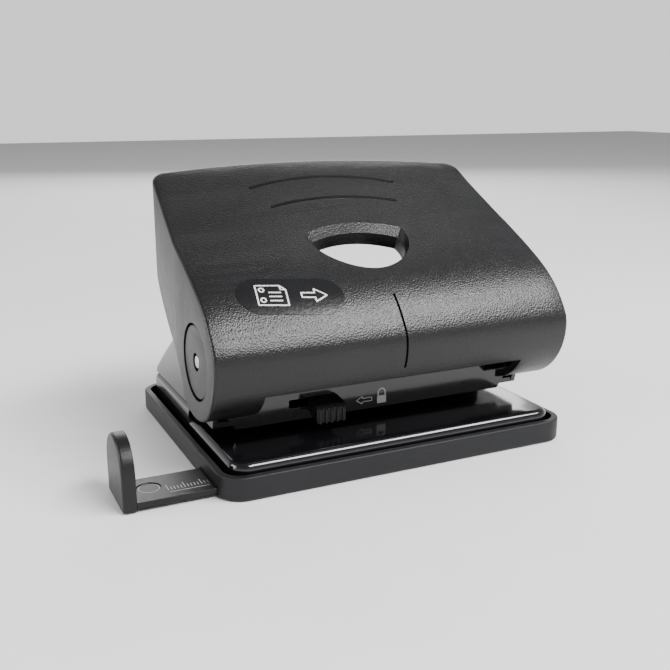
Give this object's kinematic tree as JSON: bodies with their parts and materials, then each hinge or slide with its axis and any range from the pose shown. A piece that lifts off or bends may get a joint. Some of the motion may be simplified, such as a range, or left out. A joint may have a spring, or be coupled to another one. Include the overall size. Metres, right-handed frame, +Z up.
{
  "type": "desk hole punch",
  "caption": "Two-hole desk paper punch with a wide lever handle, steel punch frame and base, lock slider, chip tray and sliding paper guide.",
  "frame": {"origin": "centre of the chip tray's underside, on the desk", "axes": "+X to the right along the punch, +Y from the paper slot to the back, +Z up"},
  "size_m": [0.1498, 0.0984, 0.0903],
  "materials": {
    "handle_plastic": "fine grained satin",
    "guide_plastic": "satin",
    "tray_plastic": "matt",
    "cap_plastic": "satin",
    "gloss_steel": "gloss black paint",
    "plain_steel": "zinc plated",
    "bright_steel": "nickel plated",
    "label_film": "printed film"
  },
  "bodies": {
    "tray": {"chip_tray": "tray_plastic"},
    "punch": {"base_plate": "gloss_steel", "punch_frame": "gloss_steel", "frame_rivets": "bright_steel", "upper_guide": "plain_steel", "pivot_pin_left": "bright_steel", "pivot_pin_right": "bright_steel", "pivot_washer_left": "bright_steel", "pivot_washer_right": "bright_steel", "pivot_cap_left": "cap_plastic", "pivot_cap_right": "cap_plastic", "punch_spring_left": "bright_steel", "punch_spring_right": "bright_steel"},
    "lever": {"handle": "handle_plastic", "press_bar": "plain_steel", "bar_screws": "bright_steel", "label": "label_film"},
    "left_punch": {"punch_pin_left": "bright_steel", "retaining_clip_left": "bright_steel"},
    "right_punch": {"punch_pin_right": "bright_steel", "retaining_clip_right": "bright_steel"},
    "lock": {"lock_slider": "guide_plastic"},
    "guide": {"paper_guide": "guide_plastic"}
  },
  "joints": [
    {"name": "tray_release", "type": "slide", "parent": "tray", "child": "punch", "axis": [0, 0, 1], "range_m": [0, 0.02]},
    {"name": "handle_hinge", "type": "hinge", "parent": "punch", "child": "lever", "pos_m": [0, -0.027, 0.037], "axis": [-1, 0, 0], "range_deg": [0, 26], "stiffness_Nm_per_rad": 0.5, "springref_deg": -20.05},
    {"name": "left_punch_slide", "type": "slide", "parent": "punch", "child": "left_punch", "axis": [0, 0, -1], "range_m": [0, 0.0061], "deforming": ["punch_spring_left"]},
    {"name": "right_punch_slide", "type": "slide", "parent": "punch", "child": "right_punch", "axis": [0, 0, -1], "range_m": [0, 0.0061], "deforming": ["punch_spring_right"]},
    {"name": "lock_slide", "type": "slide", "parent": "punch", "child": "lock", "axis": [-1, 0, 0], "range_m": [0, 0.008]},
    {"name": "guide_slide", "type": "slide", "parent": "tray", "child": "guide", "axis": [-1, 0, 0], "range_m": [-0.022, 0.064]}
  ],
  "couplings": [
    {"joint": "left_punch_slide", "follows": "handle_hinge", "m_per_rad": 0.013442},
    {"joint": "right_punch_slide", "follows": "handle_hinge", "m_per_rad": 0.013442}
  ]
}
